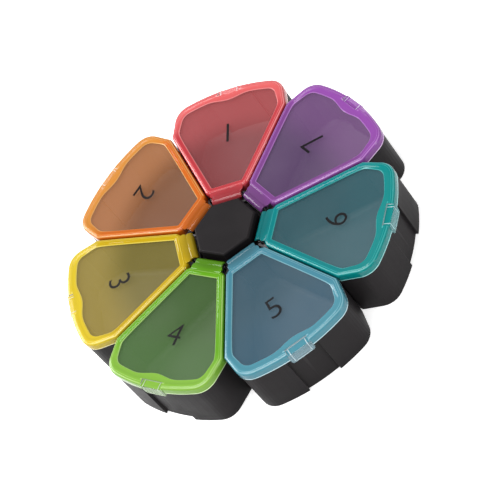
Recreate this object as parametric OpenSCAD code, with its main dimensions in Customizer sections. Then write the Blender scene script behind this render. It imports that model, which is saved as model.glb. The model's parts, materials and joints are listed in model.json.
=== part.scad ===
// Flower-shaped travel pill organizer: seven day cups keyed round a centre hub, each with
// a tinted lid that swings up on a pin beside the hub and snaps shut at its outer edge.
// Millimetres, +Z up, origin at the centre of the hub's underside.
// The petals run clockwise from SUN, which points along +Y.

/* [Petals] */
// Radius from the centre to the outer edge of the lids
body_r = 58.8; // [56:0.2:62]
// Radius from the centre to the notch between two petals
notch_r = 49; // [46:0.5:50.5]
// Radius of a petal's two outer corners
corner_r = 6.5; // [5:0.5:8]
// Angle by which a petal narrows between the notch and its corner
side_turn = 7; // [4:1:11]
// Gap between neighbouring petals where they lie side by side
petal_gap = 0.5; // [0.4:0.05:0.8]

/* [Cups] */
// Height of a cup's outer wall, up to the edge under the lid
cup_h = 17.4; // [15:0.2:26]
// Thickness of a cup's side and outer walls
wall_t = 1.9; // [1.7:0.1:2.4]
// Thickness of a cup's floor
floor_t = 1.8; // [1.2:0.1:3]
// Thickness of a cup's wall beside the hub
front_t = 1.6; // [1.2:0.1:2.2]
// How far the outer walls stand inside the lid's edge
cup_inset = 0.25; // [0.1:0.05:0.4]
// Height of the thin lip that stands up inside the closed lid
lip_h = 1.1; // [0.6:0.1:1.2]
// Width of the shallow finger recess in a cup's outer wall
recess_w = 11.6; // [9:0.2:14]
// Depth of the finger recess
recess_d = 1; // [0.8:0.1:1.2]

/* [Lids] */
// Height of a lid, from its skirt's lower edge to its top
lid_h = 3.1; // [2.8:0.1:4]
// Thickness of a lid's skirt
skirt_t = 1; // [0.8:0.05:1.1]
// Thickness of a lid's window panel
panel_t = 1.2; // [0.9:0.1:1.4]
// Depth of the window panel below the lid's border
panel_drop = 0.4; // [0.2:0.1:0.6]
// Width of the border along a lid's two long sides
border_w = 2.6; // [2:0.1:3.2]
// Extra border width along a lid's outer edge
rim_extra = 1; // [0.4:0.1:1.6]
// Width of the border beside the hinge
hinge_border = 2.2; // [1.6:0.1:3]
// Radius of the rounding along a lid's top edge
edge_r = 0.9; // [0.5:0.1:1.1]
// Chamfer across a lid's two corners beside the hinge
hinge_corner = 1; // [0.8:0.1:1.6]
// Thickness of the shelf with which a lid covers its hinge ears
shelf_t = 0.45; // [0.35:0.05:0.45]
// Width of the latch tab
tab_w = 8.6; // [6:0.2:9]
// How far the tab stands out from the lid's skirt
tab_out = 0.15; // [0.1:0.05:0.3]
// How far the tab reaches below the lid's skirt
tab_drop = 1.8; // [1.6:0.1:2.4]
// Depth of the tab's top below the lid's top
tab_step = 0.9; // [0.7:0.1:1.5]

/* [Hinges] */
// Outside diameter of a lid's hinge barrel
barrel_d = 3.2; // [2.8:0.1:3.4]
// Length of the hinge barrel between the ears
barrel_len = 8.5; // [7.5:0.1:8.6]
// Diameter of the steel hinge pin
pin_d = 1; // [0.8:0.1:1.2]
// Thickness of the cup's two hinge ears
ear_t = 0.9; // [0.8:0.05:1]
// Diameter of the ears' rounded tops
ear_d = 2; // [1.9:0.05:2.05]

/* [Hub] */
// Width of the hub cap across its flats
cap_w = 20.3; // [19:0.1:21]
// Gap between the hub cap and the hinge barrels
cap_gap = 1.25; // [1.1:0.05:1.6]
// Height of the hub cap above the lids
cap_rise = 1; // [0.4:0.1:1.4]
// Chamfer round the top of the hub cap
cap_chamfer = 0.5; // [0.3:0.1:0.8]
// Depth from the cups' inner rim down to the shoulder that the cap sits on
cap_seat = 1; // [0.6:0.1:3]
// Wall thickness of the hub's two pieces
hub_wall = 1.6; // [1.2:0.1:2]
// Diameter of the peg that holds the cap in the core
peg_d = 6; // [4:0.2:8]
// Length of the cap's peg inside the core
peg_len = 9; // [5:0.5:11]
// Depth of the dovetail key between a cup and the core
key_d = 1.8; // [1.2:0.1:2]
// Width of the dovetail key at its neck
key_w = 3; // [2.4:0.1:3.6]
// Height of the solid foot below each key slot
key_z = 3; // [2:0.5:5]

/* [Clearances] */
// Running clearance between a lid and its cup
lid_clear = 0.3; // [0.2:0.05:0.35]
// Gap under a closed lid's skirt
seat_gap = 0.1; // [0.05:0.05:0.2]
// Radial clearance of the hinge pin
pin_clear = 0.05; // [0.02:0.01:0.08]
// Clearance between pieces that are fitted together for good
fit_clear = 0.05; // [0.02:0.01:0.1]

/* [Hidden] */
DAYS = ["sun", "sat", "fri", "thu", "wed", "tue", "mon"];
TINTS = ["crimson", "mediumorchid", "darkcyan", "steelblue", "limegreen", "gold", "darkorange"];

petals = len(DAYS);
half = 180 / petals;                 // half of a petal's share of the circle
eps = 0.01;                          // overlap that joins solids or opens a cut
round_fn = 48;
rim_steps = 6;                       // straight facets in half of a petal's outer edge
corner_steps = 6;                    // facets round a petal's corner
edge_steps = 3;                      // facets round a lid's top edge

// Heights
skirt_z = cup_h + seat_gap;
lid_top = skirt_z + lid_h;
hinge_z = lid_top - barrel_d / 2;
front_h = hinge_z - barrel_d / 2 - lid_clear;
core_h = front_h - cap_seat;
cap_top = lid_top + cap_rise;
panel_z = lid_top - panel_drop;
plate_z = panel_z - panel_t;

// Distances from the centre
front_u = cap_w / 2 + cap_gap;       // the cups' face towards the hub
hinge_u = front_u + barrel_d / 2;
neck = barrel_d / 2 + 0.8;           // from the hinge axis to the lid's full width
lid_u = hinge_u + neck;
shelf_u = hinge_u + 0.8;             // the shelf starts just outside the hinge axis
shelf_over = 0.7;                    // how far it reaches past the ears
pin_len = barrel_len + 2 * (seat_gap + ear_t);
hood_len = pin_len + 0.1;            // the barrel with the hoods over the ears
ear_play = 0.1;                      // room between an ear and its hood
ear_back = 0.1;                      // how far an ear's stem reaches behind the pin's axis
hood_cut = ear_back + 0.15;          // how far an opened hood ends behind the pin's axis
lid_swing = 104;                     // how far a lid can open
recess_r = body_r - cup_inset - recess_d;
core_w = 2 * (front_u - fit_clear);

// Latch: a bead inside the tab snaps under a catch in the cup's finger recess
latch_play = 0.15;                   // the catch's and the bead's height, and their gap
catch_r = recess_r + latch_play;
bead_r = catch_r + latch_play;
tab_in = bead_r + latch_play;
tab_r = body_r + tab_out;
tab_z = skirt_z - tab_drop;
catch_h = 0.6;
catch_w = tab_w - 3;
key_flare = 0.7;                     // widening of a key's tip on each side

// The line along a petal's side beyond the notch, and the centre of its corner
flank_n = [sin(side_turn), cos(side_turn)];
flank_d = notch_r * cos(90 - half - side_turn);
corner_along = sqrt(pow(body_r - corner_r, 2) - pow(flank_d - corner_r, 2));
corner_c = (flank_d - corner_r) * flank_n + corner_along * [flank_n.y, -flank_n.x];
corner_a = atan2(corner_c.y, corner_c.x);

// Point where the lines a.p = c and b.p = d cross
function crossing(a, c, b, d) = [c * b.y - d * a.y, a.x * d - b.x * c] / (a.x * b.y - a.y * b.x);

// Left half of a petal's outline, from the hub outwards. side is the clearance to the
// neighbour's sector, inset the distance inside the lid's edge, u0 where it starts and
// cut the chamfer of its first corner.
function half_outline(side, inset, u0, cut) = concat(
    [for (c = cut > 0 ? [0, cut] : [0])
        [u0 + c, ((u0 + c) * sin(half) - side) / cos(half) + c - cut]],
    [crossing([-sin(half), cos(half)], -side, flank_n, flank_d - inset)],
    [for (i = [0:corner_steps])
        let (a = 90 - side_turn + (corner_a - 90 + side_turn) * i / corner_steps)
        corner_c + (corner_r - inset) * [cos(a), sin(a)]],
    [for (i = [1:rim_steps])
        let (a = corner_a * (1 - i / rim_steps)) (body_r - inset) * [cos(a), sin(a)]]
);

// Whole outline of a petal that points along +X
function outline(side, inset, u0, cut = 0) =
    let (left = half_outline(side, inset, u0, cut))
    concat(left, [for (i = [len(left) - 2:-1:0]) [left[i].x, -left[i].y]]);

// Outline of a lid; setback moves its straight end further from the hinge
function lid_outline(inset, setback = 0) =
    outline(petal_gap / 2 + inset, inset, lid_u + inset + setback, hinge_corner);

module cup_plan(inset) {
    polygon(outline(petal_gap / 2 + inset, cup_inset + inset, front_u));
}

module cavity_plan() {
    difference() {
        polygon(outline(petal_gap / 2 + wall_t, cup_inset + wall_t, front_u + front_t));
        // the wall keeps its thickness behind the finger recess
        recess_plan(recess_w + 2 * wall_t, recess_r - wall_t);
    }
}

// Everything beyond radius r within width w of the petal's middle
module recess_plan(w, r) {
    difference() {
        translate([r - 5, -w / 2]) square([body_r - r + 10, w]);
        circle(r = r, $fn = 4 * round_fn);
    }
}

// Solid whose rings follow a petal's outline: profile is a list of [inset, height]
module lofted(profile) {
    rings = [for (p = profile) [for (q = lid_outline(p[0])) [q.x, q.y, p[1]]]];
    n = len(rings[0]);
    points = [for (ring = rings) each ring];
    sides = [for (k = [0:len(rings) - 2]) for (i = [0:n - 1])
        let (j = (i + 1) % n) [k * n + i, k * n + j, (k + 1) * n + j, (k + 1) * n + i]];
    first = [for (i = [n - 1:-1:0]) i];
    last = [for (i = [0:n - 1]) (len(rings) - 1) * n + i];
    polyhedron(points, concat([first], sides, [last]));
}

// Bar across a petal, along its hinge axis
module across(d, len) {
    translate([hinge_u, 0, hinge_z]) rotate([90, 0, 0])
        cylinder(d = d, h = len, center = true, $fn = round_fn);
}

module at_petal(k) {
    rotate(90 - k * 360 / petals) children();
}

// Dovetail key in plan, pointing at the hub from the cups' front face
module key_plan(play) {
    tip = key_w / 2 + key_flare + play;
    root = key_w / 2 + play;
    polygon([
        [front_u + eps, root], [front_u - key_d - play, tip],
        [front_u - key_d - play, -tip], [front_u + eps, -root]
    ]);
}

// Heptagon with flat sides towards the petals
module hub_plan(w) {
    rotate(90 + half) circle(r = w / 2 / cos(half), $fn = petals);
}

// Core: a hollow column with a slot for each cup's key and a socket for the cap's peg
module hub_core() {
    socket_z = core_h - peg_len - fit_clear;
    color("dimgray") {
        difference() {
            linear_extrude(core_h) hub_plan(core_w);
            for (k = [0:petals - 1]) at_petal(k)
                translate([0, 0, key_z - fit_clear]) linear_extrude(core_h) key_plan(fit_clear);
            translate([0, 0, -eps]) cylinder(
                d = core_w - 2 * (key_d + 2 * fit_clear + hub_wall), h = core_h - hub_wall,
                $fn = round_fn);
            translate([0, 0, socket_z])
                cylinder(d = peg_d + 2 * fit_clear, h = core_h, $fn = round_fn);
        }
        difference() {
            cylinder(d = peg_d + 2 * hub_wall, h = core_h - eps, $fn = round_fn);
            translate([0, 0, socket_z])
                cylinder(d = peg_d + 2 * fit_clear, h = core_h, $fn = round_fn);
        }
    }
}

// Cap: a shell with a chamfered top, whose peg is pressed into the core
module hub_cap() {
    skirt = cap_top - cap_chamfer - core_h;
    color("dimgray") translate([0, 0, core_h]) {
        difference() {
            union() {
                linear_extrude(skirt) hub_plan(cap_w);
                translate([0, 0, skirt]) rotate(90 + half) cylinder(
                    r1 = cap_w / 2 / cos(half), r2 = (cap_w / 2 - cap_chamfer) / cos(half),
                    h = cap_chamfer, $fn = petals);
            }
            translate([0, 0, -eps]) linear_extrude(cap_top - core_h - hub_wall)
                hub_plan(cap_w - 2 * hub_wall);
        }
        translate([0, 0, -peg_len])
            cylinder(d = peg_d, h = peg_len + cap_top - core_h - hub_wall + eps, $fn = round_fn);
    }
}

// One of a cup's two ears, which hold the hinge pin
module ear_plan() {
    intersection() {
        translate([hinge_u - ear_d / 2, barrel_len / 2 + seat_gap]) square([ear_d, ear_t]);
        cup_plan(0);
    }
}

module ears() {
    intersection() {
        for (s = [0, 1]) mirror([0, s, 0])
            translate([0, 0, floor_t]) linear_extrude(hinge_z + barrel_d - floor_t) ear_plan();
        union() {
            across(ear_d, body_r);
            translate([0, -body_r, 0]) cube([body_r, 2 * body_r, front_h]);
            translate([hinge_u - ear_back, -body_r, 0]) cube([body_r, 2 * body_r, hinge_z]);
        }
    }
}

module cup(k) {
    color("dimgray") at_petal(k) difference() {
        union() {
            difference() {
                linear_extrude(cup_h) cup_plan(0);
                translate([0, 0, -eps]) linear_extrude(cup_h + 2 * eps)
                    recess_plan(recess_w, recess_r);
                translate([0, 0, floor_t]) linear_extrude(cup_h) cavity_plan();
                // the wall under the hinge barrel stops below it
                translate([0, -body_r, front_h]) cube([lid_u - lid_clear, 2 * body_r, cup_h]);
            }
            // lip that stands inside the closed lid's skirt
            translate([0, 0, cup_h - eps]) linear_extrude(lip_h) difference() {
                polygon(lid_outline(skirt_t + lid_clear, lid_clear));
                cavity_plan();
            }
            // catch that the latch tab's bead snaps under
            rim_band(recess_r - eps, catch_r, catch_w, cup_h - catch_h, cup_h);
            ears();
            translate([0, 0, key_z]) linear_extrude(core_h - key_z - fit_clear) key_plan(0);
        }
        across(pin_d + 2 * fit_clear, 2 * barrel_len);
    }
}

module lid(k) {
    edge = [for (i = [0:edge_steps]) let (a = 90 * i / edge_steps)
        [edge_r * (1 - cos(a)), lid_top - edge_r * (1 - sin(a))]];
    color(TINTS[k], 0.7) at_petal(k) difference() {
        union() {
            difference() {
                lofted(concat([[skirt_t, plate_z], [skirt_t, skirt_z], [0, skirt_z]], edge));
                translate([0, 0, panel_z]) linear_extrude(lid_h) intersection() {
                    polygon(lid_outline(border_w));
                    circle(r = body_r - border_w - rim_extra, $fn = 4 * round_fn);
                    translate([lid_u + hinge_border, -body_r]) square(2 * body_r);
                }
            }
            // neck that carries the barrel, and the barrel itself
            translate([hinge_u, -barrel_len / 2, plate_z])
                cube([neck + skirt_t + eps, barrel_len, lid_top - plate_z]);
            across(barrel_d, barrel_len);
            hoods();
            shelf();
            latch_tab();
        }
        across(pin_d + 2 * pin_clear, 2 * barrel_len);
    }
}

// Hoods that carry the barrel on over the ears, open towards the ears' stems
module hoods() {
    difference() {
        across(barrel_d, hood_len);
        across(ear_d + 2 * ear_play, hood_len + 1);
        translate([hinge_u, 0, hinge_z]) rotate([0, lid_swing - 90, 0])
            translate([-body_r, -body_r, hood_cut - 2 * body_r])
                cube(2 * body_r);
    }
}

// Shelf beside the neck that hides the cup's ears and swings clear of the next lids
module shelf() {
    w = pin_len / 2 + shelf_over;
    right = [
        [shelf_u, -w + hinge_corner], [shelf_u + hinge_corner, -w], [lid_u + skirt_t, -w]
    ];
    translate([0, 0, lid_top - shelf_t]) linear_extrude(shelf_t)
        polygon(concat(right, [for (i = [2:-1:0]) [right[i].x, -right[i].y]]));
}

// Part of a ring between two radii, w wide, across the petal's outer edge
module rim_band(r_in, r_out, w, z0, z1) {
    translate([0, 0, z0]) linear_extrude(z1 - z0) intersection() {
        difference() {
            circle(r = r_out, $fn = 4 * round_fn);
            circle(r = r_in, $fn = 4 * round_fn);
        }
        translate([r_in / 2, -w / 2]) square([r_out, w]);
    }
}

// Tab that hangs over the finger recess, with the bead that snaps under the catch
module latch_tab() {
    rim_band(tab_in, tab_r, tab_w, tab_z, lid_top - tab_step);
    rim_band(bead_r, tab_in + eps, catch_w, tab_z, tab_z + catch_h);
}

module hinge_pin(k) {
    color("silver") at_petal(k) across(pin_d, pin_len);
}

hub_core();
hub_cap();
for (k = [0:petals - 1]) {
    cup(k);
    lid(k);
    hinge_pin(k);
}
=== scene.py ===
# %% [markdown]
# # A flower-shaped travel pill organizer, dressed for its portrait
# Seven black day cups sit round a small hub. Each cup has a see-through lid in its own
# colour: a glossy rounded border round a finely frosted window, a clear latch tab at the
# outer edge and a hinge barrel beside the hub. The solids come from the CAD frame. This
# lesson softens the edges of the black ones, and models the lids again with more detail.

import json
import math

import bmesh
import bpy
from mathutils import Matrix, Vector

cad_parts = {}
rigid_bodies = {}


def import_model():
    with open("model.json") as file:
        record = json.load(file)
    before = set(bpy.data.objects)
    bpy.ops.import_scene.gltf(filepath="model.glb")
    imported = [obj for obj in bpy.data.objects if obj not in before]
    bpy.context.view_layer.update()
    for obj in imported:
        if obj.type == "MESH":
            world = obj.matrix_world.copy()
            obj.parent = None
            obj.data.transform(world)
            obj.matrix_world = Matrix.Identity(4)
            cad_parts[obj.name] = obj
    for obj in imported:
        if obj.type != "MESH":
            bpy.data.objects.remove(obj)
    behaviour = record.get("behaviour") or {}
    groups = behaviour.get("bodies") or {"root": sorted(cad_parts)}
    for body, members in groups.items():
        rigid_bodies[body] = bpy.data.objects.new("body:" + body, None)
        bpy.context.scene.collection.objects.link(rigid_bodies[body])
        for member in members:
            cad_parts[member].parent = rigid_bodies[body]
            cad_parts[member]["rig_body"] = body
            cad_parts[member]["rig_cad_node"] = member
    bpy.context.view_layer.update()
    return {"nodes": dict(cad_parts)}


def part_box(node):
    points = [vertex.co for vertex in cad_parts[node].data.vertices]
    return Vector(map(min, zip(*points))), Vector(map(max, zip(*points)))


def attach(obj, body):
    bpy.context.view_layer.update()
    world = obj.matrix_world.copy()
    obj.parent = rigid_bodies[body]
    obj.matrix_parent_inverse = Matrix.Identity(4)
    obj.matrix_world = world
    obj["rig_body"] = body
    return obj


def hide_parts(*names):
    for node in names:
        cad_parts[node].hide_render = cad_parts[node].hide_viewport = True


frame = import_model()

# %% [markdown]
# ## Sizes
# Everything here is in metres, as the frame is. A lid's place could be typed in, but it
# is read from the frame's own boxes, so that the new lids land exactly on the hinges.
# The lid that is modelled points along +Y. A name that ends in U is a distance from the
# hub's centre along that line, X is a distance to its side, and Z is a height.

# %% Sizes from the frame
MM = 0.001
TINY = 0.01 * MM  # tolerance when faces and edges are picked by their place
DAYS = ["sun", "sat", "fri", "thu", "wed", "tue", "mon"]  # clockwise from above
NUMBERS = ["1", "7", "6", "5", "4", "3", "2"]  # the week counted from Sunday
TINTS = ["red", "purple", "teal", "blue", "green", "yellow", "orange"]
HALF = math.pi / len(DAYS)  # half of a petal's share of the circle

lid_low, lid_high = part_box("lid_sun")
pin_low, pin_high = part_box("hinge_pin_sun")
TAB_OUT = 0.15 * MM  # how far the latch tab stands out from the rim
RIM_R = lid_high.y - TAB_OUT  # outer edge of the lids
LID_TOP = lid_high.z
TAB_Z = lid_low.z  # lower end of the latch tab
HINGE_U = (pin_low.y + pin_high.y) / 2
HINGE_Z = (pin_low.z + pin_high.z) / 2
BARREL_R = LID_TOP - HINGE_Z
print(f"rim radius {RIM_R / MM:.1f} mm, lid top {LID_TOP / MM:.1f} mm")
print(f"hinge at {HINGE_U / MM:.1f} mm, barrel radius {BARREL_R / MM:.1f} mm")

# %% Sizes of a lid
LID_U = HINGE_U + BARREL_R + 0.8 * MM  # where a lid reaches its full width
LID_CUT = 1.0 * MM  # cut of its two corners beside the hinge
LID_H = 3.1 * MM
SKIRT_Z = LID_TOP - LID_H  # lower edge of the skirt
SKIRT_T = 1.0 * MM
BORDER_H = 0.9 * MM  # height of the border's rounding
PANEL_DROP = 0.4 * MM
WINDOW_Z = LID_TOP - PANEL_DROP
PLATE_Z = LID_TOP - 1.6 * MM  # underside of the window
GAP = 0.5 * MM  # between two neighbouring lids
NOTCH_R = 49 * MM  # from the hub's centre to a notch
CORNER_R = 6.5 * MM
SIDE_TURN = math.radians(7)  # turn of the sides at the notches
TAB_W = 8.6 * MM
print(f"a lid runs from {LID_U / MM:.1f} to {RIM_R / MM:.1f} mm")

# %% [markdown]
# ## Helpers
# Operators act on whatever is selected, so each helper first clears the selection, and
# faces or edges are then picked by where they are or which way they face. That keeps on
# working when a size changes, where a list of face numbers would not.


# %% Selection helpers
def deselect():
    """Goes to object mode and deselects every object."""
    if bpy.context.object and bpy.context.object.mode != "OBJECT":
        bpy.ops.object.mode_set(mode="OBJECT")
    bpy.ops.object.select_all(action="DESELECT")


def alone(obj):
    """Makes obj the only selected and the active object."""
    deselect()
    obj.select_set(True)
    bpy.context.view_layer.objects.active = obj


def pick(kind, test):
    """In edit mode, selects the faces or edges that pass test.

    A face is tested by its centre and normal, and an edge by its two ends.
    """
    bpy.ops.mesh.select_mode(type=kind)
    bpy.ops.mesh.select_all(action="DESELECT")
    mesh = bmesh.from_edit_mesh(bpy.context.object.data)
    if kind == "FACE":
        found = [f for f in mesh.faces if test(f.calc_center_median(), f.normal)]
    else:
        found = [e for e in mesh.edges if test(e.verts[0].co, e.verts[1].co)]
    for part in found:
        part.select_set(True)
    bmesh.update_edit_mesh(bpy.context.object.data)


# %% Object helpers
def apply_modifier(obj, kind, **settings):
    """Adds a modifier with these settings and applies it."""
    alone(obj)
    modifier = obj.modifiers.new(kind.title(), kind)
    for key, value in settings.items():
        setattr(modifier, key, value)
    bpy.ops.object.modifier_apply(modifier=modifier.name)


def settled(name):
    """Names the object that was just added and puts its place into its mesh."""
    obj = bpy.context.object
    obj.name = name
    alone(obj)
    bpy.ops.object.transform_apply(location=True, rotation=True, scale=True)
    return obj


# %% [markdown]
# ## The outline of a lid
# From above a lid is a petal: two straight sides along its neighbours, a slight turn at
# the notch, two round corners and a long outer arc about the hub. A filled curve could
# give it, but a mesh that is traced has its vertices where the border will need them.
# Half of it is traced from the hub outwards, as a drawing would be: a vertex is
# extruded for each straight stretch and spun for each arc. A mirror gives the other half.

# %% Work out the straight stretches
BEFORE_NOTCH = (3.4 * MM, 2.2 * MM, 1.1 * MM)  # extra points on the side, up to the notch
AFTER_NOTCH = (1.1 * MM, 2.2 * MM)  # and beyond it, so that the notch can be rounded


def crossing(a, c, b, d):
    """The point p where a.p = c and b.p = d."""
    det = a.x * b.y - a.y * b.x
    return Vector(((c * b.y - d * a.y) / det, (a.x * d - b.x * c) / det))


def half_outline(start, cut):
    """Points along half a petal, from the hub to its round corner, and that corner's centre.

    The petal starts at the distance start, where its corner is cut off by cut.
    """
    side = Vector((math.cos(HALF), -math.sin(HALF)))
    flank = Vector((math.cos(SIDE_TURN), math.sin(SIDE_TURN)))
    flank_d = NOTCH_R * math.cos(math.pi / 2 - HALF - SIDE_TURN)
    along = math.sqrt((RIM_R - CORNER_R) ** 2 - (flank_d - CORNER_R) ** 2)
    centre = (flank_d - CORNER_R) * flank + along * Vector((-flank.y, flank.x))

    def width(u):
        return (u * math.sin(HALF) - GAP / 2) / math.cos(HALF)

    begin = Vector((width(start + cut), start + cut))
    notch = crossing(side, -GAP / 2, flank, flank_d)
    end = centre + CORNER_R * flank
    before = (begin - notch).normalized()
    after = (end - notch).normalized()
    points = [
        Vector((width(start) - cut, start)),
        begin,
        *(notch + reach * before for reach in BEFORE_NOTCH),
        notch,
        *(notch + reach * after for reach in AFTER_NOTCH),
        end,
    ]
    return points, centre


points, centre = half_outline(LID_U, LID_CUT)
print(f"{len(points)} points, half width at the corner {points[-1].x / MM:.1f} mm")

# %% Trace a petal
CORNER_STEPS = 12
RIM_STEPS = 16


def petal_face(name, z, start, cut):
    """A flat petal at the height z, from start outwards, as a new object in edit mode."""
    points, centre = half_outline(start, cut)
    corner_a = math.atan2(centre.x, centre.y)
    deselect()
    bpy.ops.mesh.primitive_plane_add(size=MM, location=(*points[0], z))
    obj = settled(name)
    bpy.ops.object.mode_set(mode="EDIT")
    bpy.ops.mesh.select_mode(type="VERT")
    bpy.ops.mesh.select_all(action="SELECT")
    bpy.ops.mesh.merge(type="CENTER")
    for a, b in zip(points, points[1:]):
        step = (*(b - a), 0)
        bpy.ops.mesh.extrude_region_move(TRANSFORM_OT_translate={"value": step})
    turn = math.pi / 2 - corner_a - SIDE_TURN
    bpy.ops.mesh.spin(steps=CORNER_STEPS, angle=-turn, center=(*centre, z), axis=(0, 0, 1))
    bpy.ops.mesh.spin(steps=RIM_STEPS, angle=-corner_a, center=(0, 0, z), axis=(0, 0, 1))
    apply_modifier(obj, "MIRROR", use_clip=True, merge_threshold=TINY)
    bpy.ops.object.mode_set(mode="EDIT")
    bpy.ops.mesh.select_mode(type="VERT")
    bpy.ops.mesh.select_all(action="DESELECT")
    mesh = bmesh.from_edit_mesh(obj.data)
    for vertex in mesh.verts:
        if abs(vertex.co.y - start) < TINY:
            vertex.select_set(True)
    bmesh.update_edit_mesh(obj.data)
    bpy.ops.mesh.edge_face_add()
    bpy.ops.mesh.select_all(action="SELECT")
    bpy.ops.mesh.edge_face_add()
    return obj


# %% [markdown]
# ## The lid's shell
# The face is pulled up to the height where the border's rounding starts. A bevel could
# round the border, but then its rings could not be placed one by one, so it is laid on
# in rings, each an inset with a small rise or fall. Together they make a low round ridge
# that ends in the step down to the window, with one very thin and almost level ring over
# the skirt's inner wall, which will show as a fine line. Along the outer edge the inner
# rings are pulled back, most behind the latch tab, so that the border is wider there.
# One inset and one extrusion from below hollow the lid and leave its skirt.

# %% Sizes of the border
FINISHES = ["border", "window", "window glow line", "clear tab", "clear rib highlight", "painted edge glow"]
BORDER, WINDOW, GLOW_LINES, TAB, RIB, EDGE = range(len(FINISHES))  # material slots of a lid

# inset of each ring in mm, its rise in mm and its share of the extra outer width
RINGS = [
    (0.10, 0.32, 0.0),
    (0.22, 0.26, 0.0),
    (0.33, 0.19, 0.0),
    (0.38, 0.10, 0.05),
    (0.10, 0.01, 0.0),
    (0.30, 0.02, 0.10),
    (0.32, -0.04, 0.10),
    (0.22, -0.12, 0.0),
    (0.40, -0.02, 0.75),
    (0.23, -0.22, 0.0),
]
EASED_FROM = 3  # the ring from which the notches are rounded
LINE_RING = 4  # the fine line, which is left as it is
line_rise = sum(rise for inset, rise, share in RINGS[:LINE_RING]) + RINGS[LINE_RING][1] / 2
LINE_Z = LID_TOP - BORDER_H + line_rise * MM  # height of the middle of that ring

RIM_EXTRA = 1.0 * MM  # extra width of the border along the outer edge
BULGE = 1.5 * MM  # and on top of it behind the tab
BULGE_X = 8.5 * MM  # where the bulge has faded out
RIM_FROM = RIM_R - 9 * MM  # where the extra width begins
RIM_FADE = 5 * MM
NOTCH_FROM = NOTCH_R - 6 * MM  # the stretch of the sides that is rounded
NOTCH_TO = NOTCH_R + 1 * MM
NOTCH_X = 15 * MM  # the notches lie further to the side than this
print(f"fine line {(LID_TOP - LINE_Z) / MM:.3f} mm below the lid's top")


# %% Shape the rings
def smooth(t):
    """A soft step from 0 to 1."""
    t = max(0.0, min(1.0, t))
    return t * t * (3 - 2 * t)


def pull_inwards(reach):
    """Moves each selected vertex towards the hub by what reach gives for it."""
    mesh = bmesh.from_edit_mesh(bpy.context.object.data)
    for vertex in [v for v in mesh.verts if v.select]:
        radius = math.hypot(vertex.co.x, vertex.co.y)
        vertex.co.xy *= 1 - reach(vertex.co.x, radius) / radius
    bmesh.update_edit_mesh(bpy.context.object.data)


def widen_border(share):
    """Pulls the selected ring towards the hub where it runs along the outer edge."""

    def reach(x, radius):
        outer = smooth((radius - RIM_FROM) / RIM_FADE)
        middle = 0.5 + 0.5 * math.cos(math.pi * min(1, abs(x) / BULGE_X))
        return share * outer * (RIM_EXTRA + BULGE * middle)

    pull_inwards(reach)


def ease_notches():
    """Rounds the selected ring a little where it turns at the notches."""
    mesh = bmesh.from_edit_mesh(bpy.context.object.data)
    eased = {}
    for vertex in [v for v in mesh.verts if v.select]:
        radius = math.hypot(vertex.co.x, vertex.co.y)
        if NOTCH_FROM < radius < NOTCH_TO and abs(vertex.co.x) > NOTCH_X:
            beside = [e.other_vert(vertex) for e in vertex.link_edges]
            beside = [v.co for v in beside if v.select]
            eased[vertex] = vertex.co / 2 + (beside[0] + beside[1]) / 4
    for vertex, place in eased.items():
        vertex.co = place
    bmesh.update_edit_mesh(bpy.context.object.data)


# %% Model the shell
FLAT = 0.99  # a face whose normal rises above this lies level


def pull_up(height):
    """Extrudes the selected faces upwards."""
    bpy.ops.mesh.extrude_region_move(TRANSFORM_OT_translate={"value": (0, 0, height)})


def face_outwards():
    """In edit mode, turns every face outwards."""
    bpy.ops.mesh.select_all(action="SELECT")
    bpy.ops.mesh.normals_make_consistent(inside=False)


def lid_shell():
    """The lid of the +Y petal without its hinge and its tab."""
    obj = petal_face("lid_shell", SKIRT_Z, LID_U, LID_CUT)
    pull_up(LID_H - BORDER_H)
    face_outwards()
    pick("FACE", lambda c, n: n.z > FLAT and c.z > SKIRT_Z + TINY)
    for ring, (inset, rise, share) in enumerate(RINGS):
        bpy.ops.mesh.inset(thickness=inset * MM, depth=rise * MM)
        widen_border(share)
        if ring >= EASED_FROM and ring != LINE_RING:
            ease_notches()
    pick("FACE", lambda c, n: n.z < -FLAT and c.z < SKIRT_Z + TINY)
    bpy.ops.mesh.inset(thickness=SKIRT_T, depth=0)
    pull_up(PLATE_Z - SKIRT_Z)
    bpy.ops.object.mode_set(mode="OBJECT")
    return obj


shell = lid_shell()
print("lid shell:", len(shell.data.vertices), "vertices,", len(shell.data.polygons), "faces")

# %% [markdown]
# ## Tools for small solids
# The hinge and the tab are made of boxes and cylinders whose edges are bevelled, and
# boolean modifiers join them to the shell or cut them out of it. Extruding them from
# the shell's own faces would need a face of the right shape at each place.

# %% Boxes, rods, bevels and booleans
OVER = 1 * MM  # how far a cutting tool reaches past what it cuts
SHARP = math.radians(35)  # an edge that turns more than this is bevelled
THIN_SOFT = 0.1 * MM  # bevel of the thin plates
WIDE_SOFT = 0.2 * MM  # bevel of the barrel and of the fingertip's seat


def block(name, low, high):
    """A box between two corners."""
    deselect()
    centre = (Vector(low) + Vector(high)) / 2
    size = Vector(high) - Vector(low)
    bpy.ops.mesh.primitive_cube_add(size=1, location=centre, scale=size)
    return settled(name)


def rod(name, radius, length, sides, at=0.0):
    """A cylinder along the hinge axis of the +Y petal, with its middle at x = at."""
    deselect()
    bpy.ops.mesh.primitive_cylinder_add(
        vertices=sides,
        radius=radius,
        depth=length,
        location=(at, HINGE_U, HINGE_Z),
        rotation=(0, math.pi / 2, 0),
    )
    return settled(name)


def bevel_edges(obj, width, segments, clamp=True):
    """Bevels the sharp edges. Without clamp, one very short edge can't narrow them all."""
    apply_modifier(
        obj,
        "BEVEL",
        width=width,
        segments=segments,
        limit_method="ANGLE",
        angle_limit=SHARP,
        use_clamp_overlap=clamp,
    )


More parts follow.
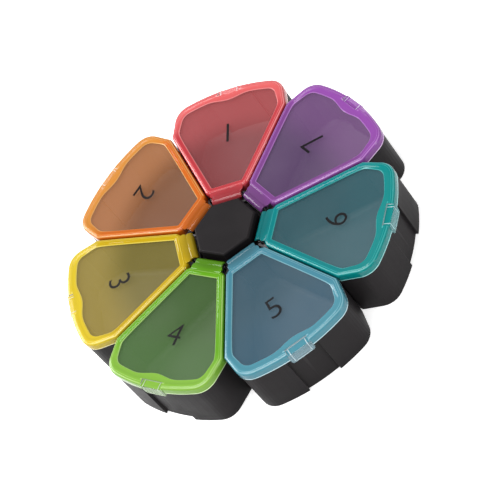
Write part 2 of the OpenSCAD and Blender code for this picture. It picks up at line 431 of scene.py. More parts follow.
def clear_slivers(obj):
    """Closes the edges and faces of no size that a cut or a union leaves where faces met."""
    alone(obj)
    bpy.ops.object.mode_set(mode="EDIT")
    bpy.ops.mesh.select_all(action="SELECT")
    bpy.ops.mesh.remove_doubles(threshold=0.1 * TINY)
    bpy.ops.mesh.dissolve_degenerate(threshold=0.1 * TINY)
    bpy.ops.object.mode_set(mode="OBJECT")


def combine(obj, tool, operation):
    """Joins tool to obj, or cuts it away, and removes the tool."""
    apply_modifier(obj, "BOOLEAN", operation=operation, solver="EXACT", object=tool)
    bpy.data.objects.remove(tool)
    clear_slivers(obj)


# %% [markdown]
# ## The hinge barrel and its neck
# The lid turns on a wire pin, so its inner end carries a barrel with a hole along it,
# joined to the lid by a short neck with a thin shelf on both sides. At both ends the
# barrel is only a hood over the cup's ear. The hoods could be bent out of sheet, but it
# is simpler to make the barrel full length and to take away the room in which the ear
# stands while the lid swings round it: a short cylinder and a tilted box.

# %% Sizes of the hinge
BARREL_LEN = 8.5 * MM  # between the ears
HOOD_LEN = 10.6 * MM  # over both hoods
HOLE_R = 0.55 * MM
EAR_ROOM = 1.1 * MM  # radius of the room for an ear
HOOD_CUT = 0.25 * MM  # from the hinge's axis to the tilted cut
ROOM_IN = 2.0 * MM  # the tilted box, towards the hub and down
ROOM_OUT = 1.65 * MM  # and towards the window
LID_SWING = math.radians(104)
NECK_DROP = 0.13 * MM  # the neck and its shelf lie a little below the lid's top
NECK_END = LID_U + 0.7 * MM  # inside the border
SHELF_T = 0.45 * MM
SHELF_X = 5.95 * MM  # half the shelf's length
SHELF_U = HINGE_U + 0.8 * MM
SHELF_CORNER = 1 * MM
print(f"barrel {BARREL_LEN / MM:.1f} mm long, or {HOOD_LEN / MM:.1f} mm with its hoods")

# %% Add the neck, its shelf and the barrel
neck = block(
    "neck",
    (-BARREL_LEN / 2, HINGE_U, PLATE_Z),
    (BARREL_LEN / 2, NECK_END, LID_TOP - NECK_DROP),
)
shelf = block(
    "shelf",
    (-SHELF_X, SHELF_U, LID_TOP - SHELF_T),
    (SHELF_X, NECK_END, LID_TOP - NECK_DROP),
)
bpy.ops.object.mode_set(mode="EDIT")
pick("EDGE", lambda a, b: abs(a.z - b.z) > TINY and a.y < SHELF_U + TINY)
bpy.ops.mesh.bevel(offset=SHELF_CORNER, segments=5, profile=0.5)
bpy.ops.object.mode_set(mode="OBJECT")
bevel_edges(shelf, THIN_SOFT, 2)
combine(shell, neck, "UNION")
combine(shell, shelf, "UNION")
barrel = rod("barrel", BARREL_R, HOOD_LEN, sides=64)
bevel_edges(barrel, WIDE_SOFT, 3)
combine(shell, barrel, "UNION")
print("with its barrel:", len(shell.data.polygons), "faces")

# %% Make room for the ears and the pin
to_hinge = Matrix.Translation((0, HINGE_U, HINGE_Z))
tilt = Matrix.Rotation(math.pi / 2 - LID_SWING, 4, "X")
for side in (-1, 1):
    inner, outer = sorted((side * BARREL_LEN / 2, side * (HOOD_LEN / 2 + OVER)))
    room = block("room", (inner, -ROOM_IN, HOOD_CUT - ROOM_IN), (outer, ROOM_OUT, HOOD_CUT))
    room.data.transform(to_hinge @ tilt)
    combine(shell, room, "DIFFERENCE")
    ring = rod("ring", EAR_ROOM, outer - inner, sides=48, at=(inner + outer) / 2)
    combine(shell, ring, "DIFFERENCE")
combine(shell, rod("hole", HOLE_R, HOOD_LEN + 2 * OVER, sides=32), "DIFFERENCE")
print("with its hinge:", len(shell.data.polygons), "faces")

# %% [markdown]
# ## The latch tab
# The tab is a thin clear plate that hangs from the rim over the finger recess, with round
# lower corners. Behind it the rim is cut down to a flat seat for the fingertip. Two ribs
# run across the seat and down the plate to a lip. A bump in the material could draw the
# ribs, but only real ridges catch the light on their edges from every side.

# %% Sizes of the tab
TAB_TOP = LID_TOP - 0.75 * MM
TAB_IN = RIM_R - 0.8 * MM  # back of the plate, inside the rim
TAB_FACE = lid_high.y  # front of the ribs and the lip
TAB_CORNER = 1.1 * MM
PLATE_BACK = 0.07 * MM  # how far the plate lies behind the ribs' front
SEAT_Z = LID_TOP - 0.62 * MM
SEAT_X = TAB_W / 2 - 0.25 * MM
SEAT_IN = RIM_R - 2.4 * MM
RIB_X = 2.9 * MM
RIB_W = 0.3 * MM
RIB_TOP = SEAT_Z + 0.12 * MM
RIB_ROOT = SEAT_Z - 0.3 * MM  # where a rib's foot is buried under the seat
RIB_END = TAB_Z + 0.5 * MM
LIP_LOW = TAB_Z + 0.25 * MM
LIP_HIGH = TAB_Z + 0.6 * MM
RIB_SOFT = 0.08 * MM  # bevel of the ribs and the lip
print(f"tab {TAB_W / MM:.1f} mm wide and {(TAB_TOP - TAB_Z) / MM:.1f} mm tall")

# %% Model the tab
tab = block(
    "tab",
    (-TAB_W / 2, TAB_IN, TAB_Z),
    (TAB_W / 2, TAB_FACE - PLATE_BACK, TAB_TOP),
)
bpy.ops.object.mode_set(mode="EDIT")
pick(
    "EDGE",
    lambda a, b: abs(a.x - b.x) < TINY and abs(a.z - b.z) < TINY and a.z < TAB_Z + TINY,
)
bpy.ops.mesh.bevel(offset=TAB_CORNER, segments=6, profile=0.5)
bpy.ops.object.mode_set(mode="OBJECT")
bevel_edges(tab, THIN_SOFT, 2)
seat = block("seat", (-SEAT_X, SEAT_IN, SEAT_Z), (SEAT_X, TAB_FACE + OVER, LID_TOP + OVER))
bevel_edges(seat, WIDE_SOFT, 3)
combine(shell, seat, "DIFFERENCE")
combine(shell, tab, "UNION")
print("with its tab:", len(shell.data.polygons), "faces")

# %% Add the ribs and the lip
for side in (-1, 1):
    inner, outer = sorted((side * RIB_X, side * (RIB_X + RIB_W)))
    for back, foot in ((SEAT_IN, RIB_ROOT), (TAB_IN, RIB_END)):
        rib = block("rib", (inner, back, foot), (outer, TAB_FACE, RIB_TOP))
        bevel_edges(rib, RIB_SOFT, 2)
        combine(shell, rib, "UNION")
lip = block("lip", (-RIB_X, TAB_IN, LIP_LOW), (RIB_X, TAB_FACE, LIP_HIGH))
bevel_edges(lip, RIB_SOFT, 2)
combine(shell, lip, "UNION")
print("with its ribs:", len(shell.data.polygons), "faces")

# %% [markdown]
# ## Light-catching lines
# Clear coloured plastic carries light inside it and lets it out at its sharp edges, so a
# real lid shows a pale line round its window, one on its border and one along the skirt's
# lower edge. Light that bends through the plastic would need a long render, so the narrow
# faces there get a paler finish instead, a painted glow. The skirt is cut just above its lower
# edge for it.

# %% Cut the skirt
LINE_H = 0.35 * MM
alone(shell)
bpy.ops.object.mode_set(mode="EDIT")
bpy.ops.mesh.select_all(action="SELECT")
bpy.ops.mesh.bisect(plane_co=(0, 0, SKIRT_Z + LINE_H), plane_no=(0, 0, 1))
bpy.ops.object.mode_set(mode="OBJECT")
clear_slivers(shell)
print("with its skirt cut:", len(shell.data.polygons), "faces")

# %% Sort the faces into finishes
STEP_H = 0.2 * MM  # height of the bright step round the window
BESIDE_TAB = RIM_R - 2 * MM  # up to here the skirt's edge runs on behind the tab
GLOW_FROM = 0.6 * RIM_R  # the skirt's edge is bright further out than this


def on_ribs(c, n):
    """Whether a face is on the ribs, on the seat's walls or on the front of the tab."""
    if c.y < SEAT_IN - TINY:
        return False
    above_seat = c.z > SEAT_Z + 2 * TINY
    on_rib = above_seat and RIB_X - TINY < abs(c.x) < RIB_X + RIB_W + TINY
    on_wall = above_seat and abs(c.x) < SEAT_X + TINY and n.z < 0.8
    return on_rib or on_wall or c.y > TAB_FACE - 4 * TINY


def finish_of(c, n):
    """Which finish a face of the lid takes, from its centre and normal."""
    if on_ribs(c, n):
        return RIB
    behind_rim = c.y > SEAT_IN
    outside = c.z < SKIRT_Z or c.y > RIM_R - 2 * TINY
    if behind_rim and outside and abs(c.x) < TAB_W / 2 + 5 * TINY:
        return TAB
    on_seat = behind_rim and abs(c.x) < SEAT_X and c.z > PLATE_Z + 10 * TINY
    if on_seat or c.y < LID_U - 10 * TINY:
        return BORDER
    if abs(n.z) > FLAT and PLATE_Z - TINY < c.z < WINDOW_Z + TINY:
        return WINDOW
    # the step round the window and the border's fine line take the painted glow
    on_step = WINDOW_Z < c.z < WINDOW_Z + STEP_H and 0.2 < n.z < 0.9 and c.y > LID_U + MM
    on_line = abs(c.z - LINE_Z) < 0.3 * TINY and n.z > 0.9
    if on_step or on_line:
        return GLOW_LINES
    # the skirt's lower edge takes the painted glow
    beside_tab = c.y < BESIDE_TAB or abs(c.x) > TAB_W / 2
    upright = c.z < SKIRT_Z + LINE_H and n.z > -0.5
    if upright and beside_tab and c.xy.length > GLOW_FROM:
        return EDGE
    return BORDER


for face in shell.data.polygons:
    face.material_index = finish_of(face.center, face.normal)
slots = [face.material_index for face in shell.data.polygons]
print("faces per finish:", {name: slots.count(i) for i, name in enumerate(FINISHES)})

# %% [markdown]
# ## Shared effects for the materials
# Moulded plastic has a fine texture and a gloss that drifts a little from place to place,
# and handling leaves faint marks on it. Both come from noise, and several materials need
# them. Their nodes could be repeated in each material, but as node groups they are built
# once and each material only sets its own values. A third effect measures how far a
# point lies from the hub, so that a colour can change from there to the rim.


# %% Start a node group
def linear(rgb):
    """An everyday colour, 0 to 1 a channel as on a screen, as the renderer's linear one."""
    return tuple(c / 12.92 if c <= 0.04045 else ((c + 0.055) / 1.055) ** 2.4 for c in rgb)


def new_group(name, inputs, outputs):
    """A node group with these number sockets, and its input and output node."""
    tree = bpy.data.node_groups.new(name, "ShaderNodeTree")
    for socket, default in inputs.items():
        item = tree.interface.new_socket(socket, in_out="INPUT", socket_type="NodeSocketFloat")
        item.default_value = default
    for socket in outputs:
        tree.interface.new_socket(socket, in_out="OUTPUT", socket_type="NodeSocketFloat")
    return tree, tree.nodes.new("NodeGroupInput"), tree.nodes.new("NodeGroupOutput")


# %% Build the noise groups
def noise_group(name, fine_scale, broad_scale, detail):
    """A group that puts out a fine Height and a broad Mask, both from Object coordinates."""
    tree, inputs, outputs = new_group(
        name, {"Mask Low": 0.35, "Mask High": 0.65}, ["Height", "Mask"]
    )
    nodes, links = tree.nodes, tree.links
    where = nodes.new("ShaderNodeTexCoord")
    fine = nodes.new("ShaderNodeTexNoise")
    fine.inputs["Scale"].default_value = fine_scale
    fine.inputs["Detail"].default_value = detail
    broad = nodes.new("ShaderNodeTexNoise")
    broad.inputs["Scale"].default_value = broad_scale
    broad.inputs["Detail"].default_value = 3
    ramp = nodes.new("ShaderNodeMapRange")
    ramp.interpolation_type = "SMOOTHSTEP"
    links.new(where.outputs["Object"], fine.inputs["Vector"])
    links.new(where.outputs["Object"], broad.inputs["Vector"])
    links.new(broad.outputs["Fac"], ramp.inputs["Value"])
    links.new(inputs.outputs["Mask Low"], ramp.inputs["From Min"])
    links.new(inputs.outputs["Mask High"], ramp.inputs["From Max"])
    links.new(fine.outputs["Fac"], outputs.inputs["Height"])
    links.new(ramp.outputs["Result"], outputs.inputs["Mask"])
    return tree


GRAIN = noise_group("moulded grain", 9000, 55, 2)
SMUDGE = noise_group("handling smudges", 900, 38, 4)
HAZE = noise_group("window haze", 400, 30, 1)
print("noise groups:", [g.name for g in (GRAIN, SMUDGE, HAZE)])


# %% Build the distance group
def reach_group(name):
    """A group that puts out how far a point lies from the hub, 0 at Near and 1 at Far."""
    tree, inputs, outputs = new_group(name, {"Near": 0.0, "Far": 0.0}, ["Reach"])
    nodes, links = tree.nodes, tree.links
    where = nodes.new("ShaderNodeTexCoord")
    flat = nodes.new("ShaderNodeVectorMath")
    flat.operation = "MULTIPLY"
    flat.inputs[1].default_value = (1, 1, 0)
    radius = nodes.new("ShaderNodeVectorMath")
    radius.operation = "LENGTH"
    ramp = nodes.new("ShaderNodeMapRange")
    ramp.interpolation_type = "SMOOTHSTEP"
    links.new(where.outputs["Object"], flat.inputs[0])
    links.new(flat.outputs["Vector"], radius.inputs[0])
    links.new(radius.outputs["Value"], ramp.inputs["Value"])
    links.new(inputs.outputs["Near"], ramp.inputs["From Min"])
    links.new(inputs.outputs["Far"], ramp.inputs["From Max"])
    links.new(ramp.outputs["Result"], outputs.inputs["Reach"])
    return tree


REACH = reach_group("reach from the hub")
print("node groups:", [g.name for g in bpy.data.node_groups])

# %% [markdown]
# ## Plastic finishes
# One function makes every plastic here. The colour and the roughness each drift between
# two near values by a group's broad mask, and the group's fine height gives a very
# shallow bump. Glass-like transmission could make the lids clear, but their walls are so
# thin that light barely bends in them, so see-through plastic uses alpha.

# %% Make a plastic
FACTOR, FIRST, SECOND = 0, 6, 7  # input sockets of a Mix node that is set to colours
MIXED = 2  # and its output


def plastic(
    name, group, colour, second, rough, bump=0.0, alpha=1.0, metallic=0.0, specular=0.5
):
    """A plastic or metal that drifts between two colours and between two roughnesses."""
    made = bpy.data.materials.new(name)
    made.use_nodes = True
    nodes, links = made.node_tree.nodes, made.node_tree.links
    shader = nodes["Principled BSDF"]
    effect = nodes.new("ShaderNodeGroup")
    effect.node_tree = group
    tone = nodes.new("ShaderNodeMix")
    tone.data_type = "RGBA"
    tone.inputs[FIRST].default_value = (*linear(colour), 1)
    tone.inputs[SECOND].default_value = (*linear(second), 1)
    gloss = nodes.new("ShaderNodeMapRange")
    gloss.inputs["To Min"].default_value = rough[0]
    gloss.inputs["To Max"].default_value = rough[1]
    relief = nodes.new("ShaderNodeBump")
    relief.inputs["Strength"].default_value = bump
    relief.inputs["Distance"].default_value = 0.1 * MM
    links.new(effect.outputs["Mask"], tone.inputs[FACTOR])
    links.new(tone.outputs[MIXED], shader.inputs["Base Color"])
    links.new(effect.outputs["Mask"], gloss.inputs["Value"])
    links.new(gloss.outputs["Result"], shader.inputs["Roughness"])
    links.new(effect.outputs["Height"], relief.inputs["Height"])
    links.new(relief.outputs["Normal"], shader.inputs["Normal"])
    shader.inputs["Alpha"].default_value = alpha
    shader.inputs["Metallic"].default_value = metallic
    shader.inputs["Specular IOR Level"].default_value = specular
    return made


# %% The black parts, the pins and the print
soft_black = plastic(
    "soft matte black",
    GRAIN,
    (0.085, 0.074, 0.08),
    (0.105, 0.093, 0.099),
    (0.5, 0.62),
    bump=0.1,
    specular=0.12,
)
# the compartment's grey is far lighter than the black plastic: painted light standing in for
# light through the lids, on a real satin gloss
inner_black_painted_light = plastic(
    "satin inner black with painted light",
    SMUDGE,
    (0.36, 0.35, 0.36),
    (0.40, 0.39, 0.40),
    (0.5, 0.6),
    bump=0.02,
)
steel = plastic(
    "pin steel",
    GRAIN,
    (0.62, 0.62, 0.63),
    (0.7, 0.7, 0.7),
    (0.25, 0.4),
    bump=0.05,
    metallic=1,
)
print_ink = plastic(
    "printed number",
    GRAIN,
    (0.03, 0.02, 0.03),
    (0.06, 0.05, 0.06),
    (0.35, 0.5),
    bump=0.05,
    specular=0.2,
)
print("materials:", [m.name for m in (soft_black, inner_black_painted_light, steel, print_ink)])

# %% [markdown]
# ## The lids' colours
# A clear moulding looks deeper in colour where its surface turns away, because the eye
# looks through more plastic there, and it is lighter at the rim, where more light gets
# in. Absorption inside a volume would do that, but it renders slowly and can't be
# exported. Here Layer Weight finds the surfaces that turn away, and the distance from
# the hub takes the colour from a painted shade at the hinge to painted light at the rim.

# %% Named colours
WHITE = (1, 1, 1)
DARKEST = (0, 0, 0)
CLEAR_GREY = (0.58, 0.62, 0.66)  # what the clear tabs lean towards

# each lid's colour along its rim and along its sides, and its window's near the hub and
# near the rim; over each lid's own tint, the rim and the window near the rim are lighter
# with painted light, and the sides and the window near the hub darker with painted shade
COLOURS = {
    "red": ((0.83, 0.37, 0.37), (0.72, 0.21, 0.24), (0.56, 0.22, 0.23), (0.74, 0.34, 0.35)),
    "purple": ((0.54, 0.27, 0.62), (0.47, 0.25, 0.52), (0.38, 0.27, 0.44), (0.50, 0.34, 0.55)),
    "teal": ((0.0, 0.50, 0.49), (0.0, 0.48, 0.49), (0.18, 0.36, 0.40), (0.20, 0.40, 0.44)),
    "blue": ((0.29, 0.54, 0.60), (0.26, 0.49, 0.56), (0.22, 0.36, 0.43), (0.25, 0.40, 0.48)),
    "green": ((0.50, 0.68, 0.25), (0.36, 0.60, 0.08), (0.28, 0.42, 0.20), (0.31, 0.47, 0.23)),
    "yellow": ((0.82, 0.72, 0.17), (0.72, 0.60, 0.04), (0.51, 0.46, 0.17), (0.66, 0.58, 0.27)),
    "orange": ((0.79, 0.53, 0.22), (0.77, 0.37, 0.06), (0.55, 0.34, 0.19), (0.75, 0.50, 0.32)),
}

# where a colour starts to change and where it has changed, from the hub's centre, from
# painted shade at the barrel and near the hub to painted light towards the rim
BARREL_SHADE_FADE = (14 * MM, 18 * MM)
WINDOW_LIGHT_FADE = (34 * MM, 48 * MM)
RIM_LIGHT_FADE = (46 * MM, 54 * MM)
EDGE_BLEND = 0.45


def blend_colour(a, b, t):
    """The colour a share t of the way from a to b."""
    return tuple(x + (y - x) * t for x, y in zip(a, b))


# %% Let a colour change over a surface
def go_over(made, factor, colour):
    """Lets a material's colour go over to another one as factor goes from 0 to 1."""
    nodes, links = made.node_tree.nodes, made.node_tree.links
    base = nodes["Principled BSDF"].inputs["Base Color"]
    before = base.links[0].from_socket
    tint = nodes.new("ShaderNodeMix")
    tint.data_type = "RGBA"
    tint.inputs[SECOND].default_value = (*linear(colour), 1)
    links.new(factor, tint.inputs[FACTOR])
    links.new(before, tint.inputs[FIRST])
    links.new(tint.outputs[MIXED], base)


def painted_light_outwards(made, outer, fade):
    """Lets a plastic's colour go over to outer between two distances from the hub, a painted
    light that grows towards the rim.
    """
    reach = made.node_tree.nodes.new("ShaderNodeGroup")
    reach.node_tree = REACH
    reach.inputs["Near"].default_value = fade[0]
    reach.inputs["Far"].default_value = fade[1]
    go_over(made, reach.outputs["Reach"], outer)


def edge_tinted(made, deep):
    """Makes a clear plastic deeper in colour and denser where its surface turns away."""
    nodes, links = made.node_tree.nodes, made.node_tree.links
    alpha = nodes["Principled BSDF"].inputs["Alpha"]
    turn = nodes.new("ShaderNodeLayerWeight")
    turn.inputs["Blend"].default_value = EDGE_BLEND
    go_over(made, turn.outputs["Facing"], deep)
    dense = nodes.new("ShaderNodeMapRange")
    dense.inputs["To Min"].default_value = alpha.default_value
    dense.inputs["To Max"].default_value = 1.0
    links.new(turn.outputs["Facing"], dense.inputs["Value"])
    links.new(dense.outputs["Result"], alpha)


# %% Make a lid's finishes
def border_plastic(tint):
    """The glossy plastic of a lid's border, neck and barrel."""
    rim, side, near, far = COLOURS[tint]
    # the darker colour the border starts from at the barrel is a painted shade
    deep = blend_colour(side, DARKEST, 0.25)
    second = blend_colour(deep, WHITE, 0.06)
    made = plastic(
        f"{tint} border", SMUDGE, deep, second, (0.03, 0.07), alpha=0.8, specular=0.3
    )
    painted_light_outwards(made, side, BARREL_SHADE_FADE)
    painted_light_outwards(made, rim, RIM_LIGHT_FADE)
    edge_tinted(made, blend_colour(side, DARKEST, 0.3))
    return made


def window_plastic(tint):
    """The finely frosted plastic of a lid's window."""
    rim, side, near, far = COLOURS[tint]
    second = blend_colour(near, WHITE, 0.06)
    made = plastic(f"{tint} window", HAZE, near, second, (0.3, 0.36), alpha=0.3)
    # the window goes from painted shade near the hub to painted light near the rim
    painted_light_outwards(made, far, WINDOW_LIGHT_FADE)
    return made


def pale_plastic(name, colour, drift, rough, alpha, bump=0.0):
    """The plastic of a narrow face or the tab, which drifts a little towards white."""
    second = blend_colour(colour, WHITE, drift)
    return plastic(name, SMUDGE, colour, second, rough, bump=bump, alpha=alpha)


def lid_materials(tint):
    """The finishes of one lid, in the order of its material slots."""
    rim = COLOURS[tint][0]
    # a painted glow on the window's step and on the border's fine line
    line = blend_colour(rim, WHITE, 0.15)
    clear = blend_colour(rim, CLEAR_GREY, 0.5)
    # the ribs, the seat's walls and the tab's front are paler than the tab: a painted
    # highlight
    rib = blend_colour(clear, WHITE, 0.35)
    # a painted glow along the skirt's lower edge
    bright = blend_colour(rim, WHITE, 0.4)
    return [
        border_plastic(tint),
        window_plastic(tint),
        pale_plastic(f"{tint} window glow line", line, 0.1, (0.2, 0.3), 0.8),
        pale_plastic(f"{tint} clear tab", clear, 0.1, (0.08, 0.14), 0.5),
        pale_plastic(f"{tint} clear rib highlight", rib, 0.2, (0.08, 0.14), 0.75),
        pale_plastic(f"{tint} painted edge glow", bright, 0.25, (0.1, 0.2), 0.95, bump=0.01),
    ]


# %% [markdown]
# ## Copies of the petals
# The lid was modelled once, for the petal that points along +Y. Linked copies would be
# lighter, but each day's lid has its own colours and its own hinge, so each gets its own
# mesh. It is turned about the hub in its vertices, so the object itself stays unturned,
# and it rides on that day's CAD lid.

# %% Copy the lids round the hub
SMOOTH_ANGLE = math.radians(32)  # an edge that turns less is shaded smooth


def day_turn(k):
    """The turn from the +Y petal to petal k, counted clockwise."""
    return Matrix.Rotation(-2 * k * HALF, 4, "Z")


def petal_copy(source, name, k):
    """A copy of a +Y piece for petal k, with its own mesh."""
    obj = source.copy()
    obj.data = source.data.copy()
    obj.name = name
    bpy.context.collection.objects.link(obj)
    obj.data.transform(day_turn(k))
    return obj


def smooth_shade(obj):
    """Shades a piece smooth, apart from its sharp edges."""
    alone(obj)
    bpy.ops.object.shade_smooth_by_angle(angle=SMOOTH_ANGLE)


smooth_shade(shell)
for k, (day, tint) in enumerate(zip(DAYS, TINTS)):
    lid = petal_copy(shell, f"lid_shell_{day}", k)
    for material in lid_materials(tint):
        lid.data.materials.append(material)
    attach(lid, f"lid_{day}")
    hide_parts(f"lid_{day}")
bpy.data.objects.remove(shell)
print("lids made:", len(DAYS), "and materials:", len(bpy.data.materials))

# %% [markdown]
# ## Numbers on the windows
# Each window carries a plain number, printed so that it reads from outside with its top
# towards the hub. It could be drawn by the window's material, but as a thin mesh it stays
# crisp at any size. A text object gives the shape; it is made a mesh before it is turned
# and placed.

# %% Print the numbers
NUMBER_SIZE = 11.5 * MM
NUMBER_U = 40 * MM
PRINT_T = 0.03 * MM
THINNER = -0.12 * MM  # offset of the strokes' outline
for k, (day, number) in enumerate(zip(DAYS, NUMBERS)):
    deselect()
    bpy.ops.object.text_add(location=(0, NUMBER_U, WINDOW_Z), rotation=(0, 0, math.pi))
    text = bpy.context.object.data
    text.body = number
    text.size = NUMBER_SIZE
    text.extrude = PRINT_T
    text.offset = THINNER
    text.align_x = "CENTER"
    text.align_y = "CENTER"
    bpy.ops.object.convert(target="MESH")
    label = settled(f"lid_number_{day}")
    label.data.transform(day_turn(k))
    label.data.materials.clear()
    label.data.materials.append(print_ink)
    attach(label, f"lid_{day}")
print("numbers printed:", NUMBERS)

# %% [markdown]
# ## Cups, hub and pins
# The black pieces already have the right shape in the frame, so they could stay. But a
# moulded edge is never perfectly sharp, and its thin highlight is what shows the form of
# a black piece. So a copy of each is merged, because a frame's mesh is loose triangles,
# and gets a narrow bevel.

# %% Soften the edges of a frame's piece
BROAD = 20 * MM**2  # faces larger than this stay flat in the smooth shading
CUP_SOFT = 0.15 * MM
SMALL_SOFT = 0.12 * MM


def merged(obj):
    """Joins the vertices that lie on one another and dissolves the edges inside flat faces."""
    alone(obj)
    bpy.ops.object.mode_set(mode="EDIT")
    bpy.ops.mesh.select_all(action="SELECT")
    bpy.ops.mesh.remove_doubles(threshold=0.1 * TINY)
    bpy.ops.mesh.dissolve_limited(angle_limit=math.radians(1))
    bpy.ops.object.mode_set(mode="OBJECT")


def softened(node, width, extra=None):
    """A merged copy of a frame's piece with bevelled edges, after extra is joined to it."""
    source = frame["nodes"][node]
    obj = source.copy()
    obj.data = source.data.copy()
    obj.parent = None
    obj.name = f"{node}_soft"
    bpy.context.collection.objects.link(obj)
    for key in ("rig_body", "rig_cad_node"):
        del obj[key]
    merged(obj)
    if extra:
        combine(obj, extra, "UNION")
        merged(obj)
    bevel_edges(obj, width, 2, clamp=False)
    smooth_shade(obj)
    for face in obj.data.polygons:
        if face.area > BROAD:
            face.use_smooth = False
    obj.data.materials.clear()
    return obj


# %% [markdown]
# ## The foot of a compartment
# Inside a cup the walls round into the floor, further at the outer wall, so that a small
# tablet slides up to the fingertip. A bevel of the cup's own inner edge folds over at its
# small steps. So a low block with the petal's outline is set on the floor instead and
# hollowed in rings, each a share of a quarter round, and then it is joined to the cup.

# %% Model the foot
FLOOR_Z = 1.8 * MM
FOOT_SUNK = 0.3 * MM  # how far the block reaches into the floor
CUP_IN = 13 * MM  # where a compartment starts
CUP_WALL = 1.9 * MM  # from a lid's outline to the compartment
FOOT_OVERLAP = 0.05 * MM  # how far the block reaches into the walls
SCOOP_R = 2.1 * MM
SCOOP_OUT = 4 * MM  # how much further the rounding reaches at the outer wall
SCOOP_FROM = 40 * MM  # where that begins
SCOOP_FADE = 9 * MM
SCOOP_STEPS = 8


def foot_block():
    """A low block that fills the foot of the +Y compartment, in edit mode."""
    obj = petal_face("scoop", FLOOR_Z - FOOT_SUNK, CUP_IN - CUP_WALL, 0)
    bpy.ops.mesh.remove_doubles(threshold=TINY)
    bpy.ops.mesh.dissolve_limited(angle_limit=math.radians(0.3))
    bpy.ops.mesh.select_mode(type="FACE")
    bpy.ops.mesh.inset(thickness=CUP_WALL - FOOT_OVERLAP, depth=0)
    bpy.ops.mesh.select_all(action="INVERT")
    bpy.ops.mesh.delete(type="FACE")
    bpy.ops.mesh.select_mode(type="EDGE")
    bpy.ops.mesh.select_loose()
    bpy.ops.mesh.delete(type="EDGE")
    bpy.ops.mesh.select_mode(type="FACE")
    bpy.ops.mesh.select_all(action="SELECT")
    pull_up(SCOOP_R + FOOT_SUNK)
    face_outwards()
    return obj


def scooped_foot():
    """The foot's block, hollowed so that the walls round into the floor."""
    obj = foot_block()
    pick("FACE", lambda c, n: n.z > FLAT and c.z > FLOOR_Z)
    for step in range(SCOOP_STEPS):
        a, b = (math.pi / 2 * (step + i) / SCOOP_STEPS for i in (0, 1))
        inwards = math.cos(a) - math.cos(b)
        down = math.sin(b) - math.sin(a)
        bpy.ops.mesh.inset(thickness=SCOOP_R * inwards, depth=-SCOOP_R * down)
        pull_inwards(lambda x, r: SCOOP_OUT * inwards * smooth((r - SCOOP_FROM) / SCOOP_FADE))
    bpy.ops.object.mode_set(mode="OBJECT")
    return obj


cup = softened("cup_sun", CUP_SOFT, extra=scooped_foot())
print("cup:", len(cup.data.polygons), "faces")

# %% Give the compartment its satin finish, whose lighter grey is painted light
COMPARTMENT_MIDDLE = Vector((0, 36 * MM, 0))
INSIDE_LOW, INSIDE_HIGH = 1.5 * MM, 18.4 * MM
INSIDE_U = 12.9 * MM
INSIDE_R = 57.2 * MM


def is_inside(c, n):
    """Whether a face of the cup belongs to its compartment."""
    to_middle = COMPARTMENT_MIDDLE - Vector((c.x, c.y, 0))
    faces_in = n.z > 0.2 or to_middle.dot(n) > 0
    within = c.y > INSIDE_U and c.xy.length < INSIDE_R
    return faces_in and within and INSIDE_LOW < c.z < INSIDE_HIGH


for face in cup.data.polygons:
    face.material_index = int(is_inside(face.center, face.normal))
print("faces inside a cup:", sum(face.material_index for face in cup.data.polygons))

# %% Copy the cups and the pins, and finish the hub
for k, day in enumerate(DAYS):
    piece = petal_copy(cup, f"cup_body_{day}", k)
    piece.data.materials.append(soft_black)
    piece.data.materials.append(inner_black_painted_light)
    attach(piece, "base")
    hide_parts(f"cup_{day}")
bpy.data.objects.remove(cup)

pin = softened("hinge_pin_sun", SMALL_SOFT)
for k, day in enumerate(DAYS):
    piece = petal_copy(pin, f"pin_wire_{day}", k)
    piece.data.materials.append(steel)
    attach(piece, "base")
    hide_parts(f"hinge_pin_{day}")
bpy.data.objects.remove(pin)

for node, name in (("hub_cap", "hub_top"), ("hub_core", "hub_column")):
    piece = softened(node, SMALL_SOFT)
    piece.name = name
    piece.data.materials.append(soft_black)
    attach(piece, "base")
    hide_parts(node)

# %% [markdown]
# ## Floor and light
# A pale floor, and a sky that is white to the camera while it lights the organizer less,
# so that the background stays clean and the colours stay deep. The floor lies a hair
# below the cups and is clear from underneath, so that the underside can be looked at
# too. One wide soft light stands above and behind, a second at the left, and a small one
# in front draws the bright lines along the rims.

# %% Lay the floor
deselect()
bpy.ops.mesh.primitive_plane_add(size=6, location=(0, 0, -0.1 * MM))
floor = settled("studio_floor")
pale = plastic("pale floor", GRAIN, (0.93, 0.93, 0.93), (0.94, 0.94, 0.94), (0.7, 0.8))
pale_shader = pale.node_tree.nodes["Principled BSDF"]
pale_shader.inputs["Emission Color"].default_value = (1, 1, 1, 1)
pale_shader.inputs["Emission Strength"].default_value = 0.6
which_side = pale.node_tree.nodes.new("ShaderNodeNewGeometry")
from_above = pale.node_tree.nodes.new("ShaderNodeMath")
from_above.operation = "SUBTRACT"
from_above.inputs[0].default_value = 1
pale.node_tree.links.new(which_side.outputs["Backfacing"], from_above.inputs[1])
pale.node_tree.links.new(from_above.outputs[0], pale_shader.inputs["Alpha"])
floor.data.materials.append(pale)
print(f"floor {floor.dimensions.x:.0f} m wide")

# %% Set the sky
SKY_LIGHT = 0.45
world = bpy.data.worlds.new("studio")
bpy.context.scene.world = world
world.use_nodes = True
sky = world.node_tree.nodes["Background"]
sky.inputs["Color"].default_value = (1, 1, 1, 1)
path = world.node_tree.nodes.new("ShaderNodeLightPath")
strength = world.node_tree.nodes.new("ShaderNodeMapRange")
strength.inputs["To Min"].default_value = SKY_LIGHT
strength.inputs["To Max"].default_value = 1
world.node_tree.links.new(path.outputs["Is Camera Ray"], strength.inputs["Value"])
world.node_tree.links.new(strength.outputs["Result"], sky.inputs["Strength"])
print("sky light:", SKY_LIGHT)

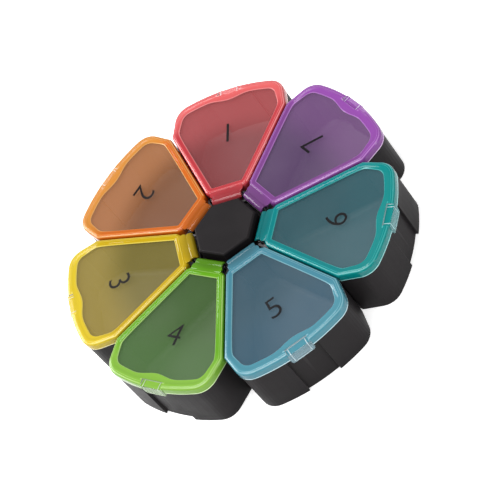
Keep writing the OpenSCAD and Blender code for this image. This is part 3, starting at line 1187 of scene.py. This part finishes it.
# %% Place the lights
# each light's place and size in metres, and its power in watts
LIGHTS = {
    "key": ((-0.25, -0.1, 0.9), 0.7, 11),
    "left": ((-0.75, 0.25, 0.4), 0.45, 5),
    "front": ((0.7, -0.2, 0.35), 0.2, 1.6),
}
for name, (place, size, power) in LIGHTS.items():
    data = bpy.data.lights.new(name, "AREA")
    data.size = size
    data.energy = power
    lamp = bpy.data.objects.new(name, data)
    bpy.context.collection.objects.link(lamp)
    lamp.location = place
    lamp.rotation_euler = (-Vector(place)).to_track_quat("-Z", "Y").to_euler()
print("lights:", list(LIGHTS))

# %% [markdown]
# ## Camera
# A long lens from a distance keeps the petals in proportion. It looks down at the
# organizer and is tilted on its side, as for a pack shot. Turning the organizer instead
# would look the same, but its place belongs to the frame, so the camera turns.

# %% Place the camera
CAM_AZIMUTH = math.radians(32.07)
CAM_ELEVATION = math.radians(46.29)
CAM_ROLL = math.radians(-40.27)
CAM_DISTANCE = 0.6723
AIM_Z = LID_TOP - 0.3 * MM
CAM_RIGHT = 7.78 * MM  # the picture's middle, from the hub's centre at the height AIM_Z
CAM_UP = -6.88 * MM
back = Vector(
    (
        math.sin(CAM_AZIMUTH) * math.cos(CAM_ELEVATION),
        -math.cos(CAM_AZIMUTH) * math.cos(CAM_ELEVATION),
        math.sin(CAM_ELEVATION),
    )
)
level = Vector((math.cos(CAM_AZIMUTH), math.sin(CAM_AZIMUTH), 0))
rise = back.cross(level)
image_right = math.cos(CAM_ROLL) * level + math.sin(CAM_ROLL) * rise
image_up = -math.sin(CAM_ROLL) * level + math.cos(CAM_ROLL) * rise
lens = bpy.data.cameras.new("pack shot")
lens.lens = 151.2  # in millimetres, for a picture 36 mm wide
lens.sensor_width = 36
camera = bpy.data.objects.new("pack_shot", lens)
bpy.context.collection.objects.link(camera)
aim = Vector((0, 0, AIM_Z)) + CAM_RIGHT * image_right + CAM_UP * image_up
turn = Matrix((image_right, image_up, back)).transposed().to_4x4()
camera.matrix_world = Matrix.Translation(aim + CAM_DISTANCE * back) @ turn
bpy.context.scene.camera = camera
bpy.context.scene.view_settings.view_transform = "Standard"
print("camera at", [round(c, 3) for c in camera.location])
